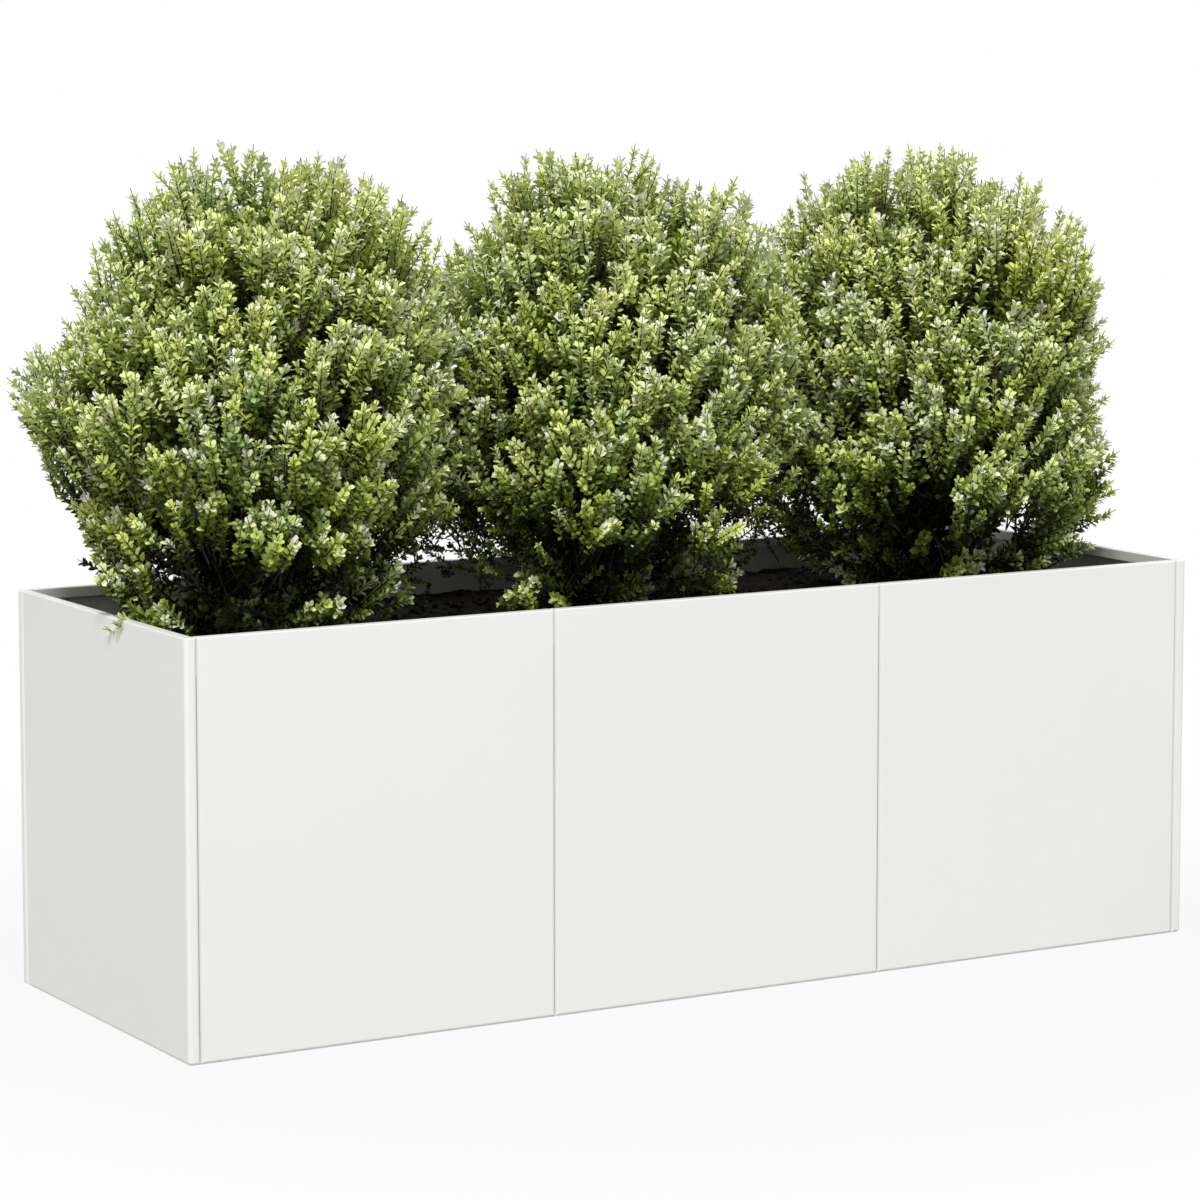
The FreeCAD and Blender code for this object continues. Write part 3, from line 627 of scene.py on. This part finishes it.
def faces_neighbour(centre, way):
    """Whether each direction points at the next shrub."""
    faces_left = (way[:, 0] < -NEIGHBOUR_WIDTH) & (centre[0] > min(PLACES.values()))
    faces_right = (way[:, 0] > NEIGHBOUR_WIDTH) & (centre[0] < max(PLACES.values()))
    return faces_left | faces_right


def thinned(centre, way, level, limit):
    """Picks sprigs to leave out near the foot: most of them at the front and between shrubs."""
    valley = faces_neighbour(centre, way)
    front = unit(way[:, :2]) @ OPEN_FRONT > OPEN_FRONT_WIDTH
    share = np.where(valley | front, OPEN_THINNING, THINNING)
    return (level < limit + VALLEY_RISE * valley) & (rng.random(len(way)) < share)


def aim(way):
    """Rotation matrices that turn Z to each direction, with a random twist."""
    z = unit(way)
    helper = np.where(np.abs(z[:, 2:3]) < NEARLY_UPRIGHT, [[0, 0, 1.0]], [[1.0, 0, 0]])
    x = unit(np.cross(helper, z))
    y = np.cross(z, x)
    turn = rng.uniform(0, math.tau, len(z))[:, None]
    c, s = np.cos(turn), np.sin(turn)
    return np.stack([x * c + y * s, y * c - x * s, z], 2)


def outer_sprigs(centre, profiles):
    """Clumps of sprigs that arch up and out from the foot of the shrub to its surface.

    This and the next two return each sprig's tip, direction, tone and warmth.
    """
    way = spread_over_ball(CLUMPS, CLUMP_SHAKE)
    reach = surface_distance(way, profiles)
    level = MIDDLE_LEVEL + way[:, 2] * reach
    kept = (reach > SHORTEST_CLUMP) & ~thinned(centre, way, level, OUTER_THINNING_LEVEL)
    way, reach = way[kept], reach[kept]
    clumps = len(way)
    lift = rng.normal(0, CLUMP_LIFT_SHAKE, clumps)
    proud = rng.random(clumps) < PROUD_SHARE
    lift += np.where(proud, rng.uniform(*PROUD_LIFT, clumps), 0)
    top = centre + way * (reach + lift)[:, None]
    rise = unit(top - foot_of(centre)) + [0, 0, CLUMP_UPTURN]
    axis = unit(rise + rng.normal(0, CLUMP_AXIS_SHAKE, top.shape))

    clump = np.repeat(np.arange(clumps), rng.integers(*CLUMP_SPRIGS, clumps))
    count = len(clump)
    spread = np.sqrt(rng.random(count))
    across = unit(np.cross(axis[clump], rng.normal(0, 1, (count, 3))))
    fan = across * (spread * CLUMP_FAN)[:, None]
    lean = unit(axis[clump] + fan + rng.normal(0, CLUMP_FAN_SHAKE, across.shape))
    drop = spread ** 2 * CLUMP_DOME + np.abs(rng.normal(0, DROP_SHAKE, count))
    deep = rng.random(count) < DEEP_SHARE
    drop += np.where(deep, rng.uniform(*DEEP_DROP, count), 0)
    drop -= np.where(rng.random(count) < SPIKE_SHARE, SPIKE, 0)
    tip = top[clump] + across * (spread * CLUMP_RADIUS)[:, None] - axis[clump] * drop[:, None]
    tip[:, 1] = np.clip(tip[:, 1], -OVERHANG_LIMIT, OVERHANG_LIMIT)
    # Painted shade: the deeper a sprig sits in its clump, the darker its tone.
    tone = rng.normal(0, CLUMP_TONE_SHAKE, clumps)[clump] - drop * PAINTED_SHADE_PER_DROP
    warmth = rng.normal(0, CLUMP_WARMTH_SHAKE, clumps)[clump]
    return tip, lean, tone, warmth


def fill_sprigs(centre, profiles):
    """Sprigs deeper in, painted darker as painted shade, which close the view through the shrub."""
    way = unit(rng.normal(0, 1, (FILL_SPRIGS, 3)))
    reach = surface_distance(way, profiles) * rng.uniform(*FILL_REACH_SHARES, FILL_SPRIGS)
    tip = centre + way * reach[:, None]
    tip = tip[~thinned(centre, way, tip[:, 2], FILL_THINNING_LEVEL)]
    count = len(tip)
    lean = unit(unit(tip - foot_of(centre)) + rng.normal(0, FILL_SHAKE, tip.shape))
    return tip, lean, np.full(count, FILL_PAINTED_SHADE), rng.normal(0, INNER_WARMTH_SHAKE, count)


def lace_sprigs(centre, profiles):
    """Small sprigs painted dark as painted shade, thinly set, low down between two shrubs."""
    way = unit(rng.normal(0, 1, (LACE_TRIES, 3)))
    reach = surface_distance(way, profiles) * rng.uniform(*LACE_REACH_SHARES, LACE_TRIES)
    tip = centre + way * reach[:, None]
    low = (tip[:, 2] > LACE_LOWEST) & (tip[:, 2] < LACE_HIGHEST)
    tip = tip[faces_neighbour(centre, way) & low]
    count = len(tip)
    rise = unit(tip - foot_of(centre)) + [0, 0, LACE_UPTURN]
    lean = unit(rise + rng.normal(0, LACE_SHAKE, tip.shape))
    return tip, lean, np.full(count, LACE_PAINTED_SHADE), rng.normal(0, INNER_WARMTH_SHAKE, count)


def leaf_places(shape, tone, warmth, highlighted_tips):
    """Where the points of every copy of a sprig lie on the leaf chart."""
    u = np.clip(tone[:, None] + shape.tone, *GREEN_RANGE)
    # Painted highlights: pale tip leaves on the chosen sprigs.
    highlighted = highlighted_tips[:, None] & (shape.tone > PALE_HIGHLIGHT_ABOVE)
    u = np.where(highlighted, PALE_HIGHLIGHT_TONE + (shape.tone - PALE_HIGHLIGHT_ABOVE) * PALE_HIGHLIGHT_GAIN, u)
    u = np.where(shape.wood, WOOD_TONE, u)
    v = np.clip(warmth[:, None] + shape.warmth, *WARMTH_RANGE)
    return np.stack([u, v], 2).reshape(-1, 2)


def sprig_piece(name, points, faces, chart):
    """One mesh of many sprigs, with its leaf chart."""
    mesh = bpy.data.meshes.new(name)
    mesh.vertices.add(len(points))
    mesh.vertices.foreach_set("co", points.astype(np.float32).ravel())
    mesh.loops.add(faces.size)
    mesh.loops.foreach_set("vertex_index", faces.astype(np.int32).ravel())
    mesh.polygons.add(len(faces))
    mesh.polygons.foreach_set("loop_start", np.arange(0, faces.size, 4, dtype=np.int32))
    layer = mesh.uv_layers.new(name=LEAF_CHART)
    layer.data.foreach_set("uv", chart[faces.ravel()].astype(np.float32).ravel())
    mesh.update(calc_edges=True)
    mesh.materials.append(leaf_finish)
    piece = bpy.data.objects.new(name, mesh)
    bpy.context.scene.collection.objects.link(piece)
    return piece


def grow_crown(crown):
    """Grows one shrub's sprigs, and makes a piece of those on each of its four sides."""
    centre = np.array([PLACES[crown], 0.0, MIDDLE_LEVEL])
    groups = [grow(centre, CROWNS[crown]) for grow in (outer_sprigs, fill_sprigs, lace_sprigs)]
    tip, lean, tone, warmth = (np.concatenate(parts) for parts in zip(*groups))
    group = np.repeat(np.arange(len(groups)), [len(parts[0]) for parts in groups])
    outer = group == 0
    count = len(tip)

    kinds = rng.integers(0, SPRIG_KINDS, count)
    leafy_length = np.array([shape.points[:, 2].max() for shape in sprigs])[kinds]
    size = rng.normal(1.0, SPRIG_SIZE_SHAKE, count) * np.array([1.0, FILL_SIZE, LACE_SIZE])[group]
    start = tip - lean * (leafy_length * size)[:, None]
    start[:, 2] = np.maximum(start[:, 2], LOWEST_START)
    spin = aim(lean)

    # Painted highlights: which outer sprigs get pale tips.
    highlighted_tips = (rng.random(count) < PALE_HIGHLIGHT_SHARE) & outer
    dull = (rng.random(count) < DULL_SHARE) & outer
    tone = BASE_TONE + tone + rng.normal(0, TONE_SHAKE, count) - DULL_TONE * dull
    # Painted light on high sprigs, and painted shade on most low ones.
    tone += np.clip((tip[:, 2] - PAINTED_LIGHT_ABOVE) * PAINTED_LIGHT_PER_METRE, 0, MOST_PAINTED_LIGHT)
    painted_shade = np.clip((tip[:, 2] - PAINTED_SHADE_BELOW) * PAINTED_SHADE_PER_METRE, -MOST_PAINTED_SHADE, 0)
    tone += painted_shade * (rng.random(count) < PAINTED_SHADE_SHARE)
    warmth = BASE_WARMTH + warmth + rng.normal(0, WARMTH_SHAKE, count) - DULL_WARMTH * dull
    warmth = np.clip(warmth, *SPRIG_WARMTH_RANGE)

    out = (tip - centre)[:, :2]
    quarter = np.round(np.degrees(np.arctan2(out[:, 1], out[:, 0])) / 90).astype(int)
    sector = (quarter + SECTORS.index("right")) % len(SECTORS)
    for number, side in enumerate(SECTORS):
        points, faces, chart = [], [], []
        used = 0
        for kind, shape in enumerate(sprigs):
            here = np.flatnonzero((sector == number) & (kinds == kind))
            placed = np.einsum("nij,vj->nvi", spin[here], shape.points) * size[here, None, None]
            points.append((placed + start[here, None]).reshape(-1, 3))
            first_points = used + np.arange(len(here)) * len(shape.points)
            faces.append(copied_faces(shape.faces, first_points))
            used += len(here) * len(shape.points)
            chart.append(leaf_places(shape, tone[here], warmth[here], highlighted_tips[here]))
        piece = sprig_piece(f"crown_{crown}_{side}", np.concatenate(points),
                            np.concatenate(faces), np.concatenate(chart))
        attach(piece, "root")
        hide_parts(f"crown_{crown}")


for crown in CROWNS:
    grow_crown(crown)


# Soil, root balls and stems

soil_low, soil_high = box_of("potting_soil")
SOIL_SIDE_GAP = 0.0007
SOIL_FOOT_GAP = 0.0022
SOIL_TOP = soil_high[2]
SOIL_FOOT = soil_low[2] + SOIL_FOOT_GAP
SOIL_HALF_LENGTH = soil_high[0] - SOIL_SIDE_GAP
SOIL_HALF_WIDTH = soil_high[1] - SOIL_SIDE_GAP
BED_CUTS = (300, 104)
BED_SINK = 0.004
BED_LUMP = 0.045
BED_LUMP_HEIGHT = 0.010
BED_GRAIN = 0.010
BED_GRAIN_HEIGHT = 0.005
BED_EDGE_ANGLE = 50

CRUMBS = 1900
CRUMB_MARGIN = 0.006
CRUMB_DROP_HEIGHT = 0.05
SMALLEST_CRUMB = 0.0012
CRUMB_GROWTH = 0.0038
CRUMB_GROWTH_POWER = 2.5
MOST_TUMBLE = 6
CRUMB_STRETCH = (0.65, 1.25)
CRUMB_ROUGHNESS = (0.8, 1.15)

ROOT_SIDE_GAP = 0.003
ROOT_FOOT_GAP = 0.001
ROOT_TOP_GAP = 0.010
ROOT_ROUNDING = 0.012
ROOT_SKIN_STEP = 0.004
ROOT_LUMP = 0.016
ROOT_LUMP_HEIGHT = 0.004

# Four stems rise from the soil, and each forks twice into three.
STEMS = 4
STEM_RING = 0.012
STEM_SINK = 0.012
STEM_LENGTH = 0.095
STEM_FOOT_RADIUS = 0.0046
STEM_RADIUS = 0.0042
STEM_LEAN = 0.30
BRANCH_STEPS = 4
BRANCH_SHAKE = 0.07
BRANCH_UPTURN = 0.03
BRANCH_TAPER = 0.4
FORK_TIMES = 2
FORK_WAYS = 3
FORK_SPREAD = 0.62
FORK_LENGTH_SHARE = 0.80
FORK_RADIUS_SHARE = 0.58


def finished(piece, name, material, node):
    """Puts a piece's place into its mesh, dresses it and gives it to the frame."""
    bpy.ops.object.select_all(action="DESELECT")
    piece.select_set(True)
    bpy.context.view_layer.objects.active = piece
    bpy.ops.object.transform_apply(location=True, rotation=True, scale=True)
    piece.name = name
    piece.data.name = name
    piece.data.materials.clear()
    piece.data.materials.append(material)
    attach(piece, "root")
    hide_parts(node)


def displace(piece, lump, height):
    """Raises and sinks a piece's skin in soft lumps of a size and a height."""
    texture = bpy.data.textures.new("lumps", "CLOUDS")
    texture.noise_scale = lump
    texture.noise_depth = 3
    lumps = piece.modifiers.new("lumps", "DISPLACE")
    lumps.texture = texture
    lumps.texture_coords = "LOCAL"
    lumps.strength = height
    bpy.ops.object.modifier_apply(modifier=lumps.name)


def make_bed():
    """The bed of soil: a grid two wide, scaled to the box's halves, lumped and made a block."""
    bpy.ops.mesh.primitive_grid_add(x_subdivisions=BED_CUTS[0], y_subdivisions=BED_CUTS[1],
                                    size=2, location=(0, 0, 0))
    bed = bpy.context.object
    bed.scale = (SOIL_HALF_LENGTH, SOIL_HALF_WIDTH, 1)
    bed.location.z = SOIL_TOP - BED_SINK
    bpy.ops.object.transform_apply(location=True, rotation=True, scale=True)
    displace(bed, BED_LUMP, BED_LUMP_HEIGHT)
    displace(bed, BED_GRAIN, BED_GRAIN_HEIGHT)
    bpy.ops.object.mode_set(mode="EDIT")
    bpy.ops.mesh.select_all(action="DESELECT")
    bpy.ops.mesh.select_mode(type="EDGE")
    bpy.ops.mesh.select_non_manifold()
    bpy.ops.mesh.extrude_region_move(
        TRANSFORM_OT_translate={"value": (0, 0, SOIL_FOOT - SOIL_TOP)})
    bpy.ops.transform.resize(value=(1, 1, 0), center_override=(0, 0, SOIL_FOOT))
    bpy.ops.mesh.edge_face_add()
    bpy.ops.object.mode_set(mode="OBJECT")
    bpy.ops.object.shade_smooth_by_angle(angle=math.radians(BED_EDGE_ANGLE))
    return bed


def make_crumbs(bed):
    """Loose crumbs of soil, half sunk in the bed."""
    bpy.ops.mesh.primitive_ico_sphere_add(subdivisions=1, radius=1)
    crumb = bpy.context.object
    shape = np.array([vertex.co for vertex in crumb.data.vertices])
    shape_faces = np.array([tuple(face.vertices) for face in crumb.data.polygons])
    bpy.data.objects.remove(crumb)
    room = [SOIL_HALF_LENGTH - CRUMB_MARGIN, SOIL_HALF_WIDTH - CRUMB_MARGIN]
    points = []
    for x, y in rng.uniform(-1, 1, (CRUMBS, 2)) * room:
        _, spot, _, _ = bed.ray_cast((x, y, SOIL_TOP + CRUMB_DROP_HEIGHT), (0, 0, -1))
        size = SMALLEST_CRUMB + CRUMB_GROWTH * rng.random() ** CRUMB_GROWTH_POWER
        turned = shape @ turn_about("X", rng.uniform(0, MOST_TUMBLE, 1))[0]
        turned = turned @ turn_about("Z", rng.uniform(0, MOST_TUMBLE, 1))[0]
        stretch = rng.uniform(*CRUMB_STRETCH, 3) * size
        rough = rng.uniform(*CRUMB_ROUGHNESS, (len(shape), 1))
        points.append(turned * rough * stretch + [x, y, spot.z])
    mesh = bpy.data.meshes.new("soil_crumbs")
    faces = copied_faces(shape_faces, np.arange(CRUMBS) * len(shape))
    mesh.from_pydata(np.concatenate(points).tolist(), [], faces.tolist())
    made = bpy.data.objects.new("soil_crumbs", mesh)
    bpy.context.scene.collection.objects.link(made)
    return made


def make_root_ball(crown):
    """A nursery root ball: a rounded plug of matted soil and roots."""
    low, high = box_of(f"root_ball_{crown}")
    foot = low[2] + ROOT_FOOT_GAP
    height = SOIL_TOP - ROOT_TOP_GAP - foot
    bpy.ops.mesh.primitive_cylinder_add(
        vertices=72, radius=(high[0] - low[0]) / 2 - ROOT_SIDE_GAP, depth=height,
        location=(PLACES[crown], 0, foot + height / 2))
    ball = bpy.context.object
    bpy.ops.object.transform_apply(location=True, rotation=True, scale=True)
    bevel = ball.modifiers.new("rounding", "BEVEL")
    bevel.width = ROOT_ROUNDING
    bevel.segments = 4
    bpy.ops.object.modifier_apply(modifier=bevel.name)
    remesh = ball.modifiers.new("even_skin", "REMESH")
    remesh.mode = "VOXEL"
    remesh.voxel_size = ROOT_SKIN_STEP
    bpy.ops.object.modifier_apply(modifier=remesh.name)
    displace(ball, ROOT_LUMP, ROOT_LUMP_HEIGHT)
    bpy.ops.object.shade_smooth()
    finished(ball, f"root_ball_{crown}_plug", soil_finish, f"root_ball_{crown}")


def outward(angle):
    return np.array([math.cos(angle), math.sin(angle), 0.0])


def grow_stems(crown):
    """Stems that rise from the soil, fork and thin out inside the crown."""
    points, edges, radii = [], [], []

    def add(point, parent, radius):
        points.append(point)
        radii.append(radius)
        if parent is not None:
            edges.append((parent, len(points) - 1))
        return len(points) - 1

    def branch(point, parent, way, length, radius, forks):
        last = parent
        for step in range(BRANCH_STEPS):
            way = unit(way + rng.normal(0, BRANCH_SHAKE, 3) + [0, 0, BRANCH_UPTURN])
            point = point + way * length / BRANCH_STEPS
            last = add(point, last, radius * (1 - BRANCH_TAPER * (step + 1) / BRANCH_STEPS))
        if forks:
            turn = rng.uniform(0, math.tau)
            for fork in range(FORK_WAYS):
                side = outward(turn + fork * math.tau / FORK_WAYS)
                branch(point, last, unit(way + side * FORK_SPREAD), length * FORK_LENGTH_SHARE,
                       radius * FORK_RADIUS_SHARE, forks - 1)

    for stem in range(STEMS):
        out = outward(math.tau * (stem + 0.5) / STEMS)
        start = np.array([PLACES[crown], 0, SOIL_TOP - STEM_SINK]) + out * STEM_RING
        foot = add(start, None, STEM_FOOT_RADIUS)
        branch(start, foot, unit(out * STEM_LEAN + [0, 0, 1]), STEM_LENGTH, STEM_RADIUS, FORK_TIMES)
    mesh = bpy.data.meshes.new(f"stems_{crown}_branches")
    mesh.from_pydata([tuple(point) for point in points], edges, [])
    stems = bpy.data.objects.new(mesh.name, mesh)
    bpy.context.scene.collection.objects.link(stems)
    bpy.context.view_layer.objects.active = stems
    stems.select_set(True)
    skin = stems.modifiers.new("bark_skin", "SKIN")
    for vertex, radius in zip(mesh.skin_vertices[0].data, radii):
        vertex.radius = (radius, radius)
    bpy.ops.object.modifier_apply(modifier=skin.name)
    round_off = stems.modifiers.new("round_off", "SUBSURF")
    round_off.levels = 1
    bpy.ops.object.modifier_apply(modifier=round_off.name)
    bpy.ops.object.shade_smooth()
    finished(stems, f"stems_{crown}_branches", bark_finish, f"stems_{crown}")


bed = make_bed()
crumbs = make_crumbs(bed)
finished(bed, "potting_soil_bed", soil_finish, "potting_soil")
finished(crumbs, "soil_crumbs", soil_finish, "potting_soil")
for crown in CROWNS:
    make_root_ball(crown)
    grow_stems(crown)


# Stage, lamp and camera

WHITE = (1.0, 1.0, 1.0, 1.0)
FLOOR_GREY = (0.40, 0.40, 0.40, 1.0)
FLOOR_SIZE = 30
FLOOR_GLOW = 0.90

# The floor turns from its glow to plain white between these distances from the middle.
WHITE_BEGINS = 0.65
WHITE_ALL = 1.25

SKY_LEVEL = 0.65
LAMP_PLACE = Vector((-4.2, -6.5, 9.2))
LAMP_TARGET = Vector((0.0, 0.0, 0.45))
LAMP_SIZE = 2.3
LAMP_POWER = 1010.0
CAMERA_PLACE = (-2.1239, -3.5842, 0.9307)
CAMERA_DIP = 5.933
CAMERA_TURN = -30.39
CAMERA_LENS = 122.414
CAMERA_SHIFT = -0.1
CAMERA_FAR_END = 100


def seen_directly(sheet):
    """One where the camera, a mirror or glass sees the surface, else zero."""
    camera, mirror, glass = (
        sheet.node("ShaderNodeLightPath", output=ray)
        for ray in ("Is Camera Ray", "Is Glossy Ray", "Is Transmission Ray"))
    return camera.greater(mirror).greater(glass)


def white_away_from_planter(sheet):
    """The share of plain white in the floor: all of it a little way from the planter."""
    place = sheet.node("ShaderNodeNewGeometry", output="Position")
    far = sheet.node("ShaderNodeVectorMath", {"operation": "LENGTH"}, {0: place}, output="Value")
    return sheet.node("ShaderNodeMapRange", None, {
        "Value": far, "From Min": WHITE_BEGINS, "From Max": WHITE_ALL,
        "To Min": FLOOR_GLOW, "To Max": 1.0})


def make_floor():
    """A pale floor that takes the planter's shadow and shows white around it."""
    bpy.ops.mesh.primitive_plane_add(size=FLOOR_SIZE, location=(0, 0, 0))
    floor = bpy.context.object
    floor.name = "floor"
    material = bpy.data.materials.new("pale_floor")
    material.use_nodes = True
    sheet = Sheet(material.node_tree)
    sheet.nodes.clear()
    matt = sheet.node("ShaderNodeBsdfDiffuse", None, {"Color": FLOOR_GREY})
    glow = sheet.node("ShaderNodeEmission", None, {"Color": WHITE})
    share = seen_directly(sheet) * white_away_from_planter(sheet)
    skin = sheet.node("ShaderNodeMixShader", None, {0: share, 1: matt, 2: glow})
    sheet.node("ShaderNodeOutputMaterial", None, {"Surface": skin})
    floor.data.materials.append(material)


def make_sky():
    """A sky that is white to the camera and lights the planter more softly."""
    world = bpy.data.worlds.new("sky")
    world.use_nodes = True
    sheet = Sheet(world.node_tree)
    sheet.nodes.clear()
    light = sheet.node("ShaderNodeBackground", None, {"Color": WHITE, "Strength": SKY_LEVEL})
    shown = sheet.node("ShaderNodeBackground", None, {"Color": WHITE})
    sky = sheet.node("ShaderNodeMixShader", None, {0: seen_directly(sheet), 1: light, 2: shown})
    sheet.node("ShaderNodeOutputWorld", None, {"Surface": sky})
    bpy.context.scene.world = world


def make_lamp():
    bpy.ops.object.light_add(type="AREA", location=LAMP_PLACE)
    lamp = bpy.context.object
    lamp.name = "key_softbox"
    lamp.data.shape = "SQUARE"
    lamp.data.size = LAMP_SIZE
    lamp.data.energy = LAMP_POWER
    lamp.rotation_euler = (LAMP_TARGET - LAMP_PLACE).to_track_quat("-Z", "Y").to_euler()


def make_camera():
    bpy.ops.object.camera_add(
        location=CAMERA_PLACE,
        rotation=(math.radians(90 - CAMERA_DIP), 0, math.radians(CAMERA_TURN)))
    camera = bpy.context.object
    camera.data.lens = CAMERA_LENS
    camera.data.shift_y = CAMERA_SHIFT
    camera.data.clip_end = CAMERA_FAR_END
    bpy.context.scene.camera = camera


make_floor()
make_sky()
make_lamp()
make_camera()
bpy.context.scene.view_settings.view_transform = "Standard"
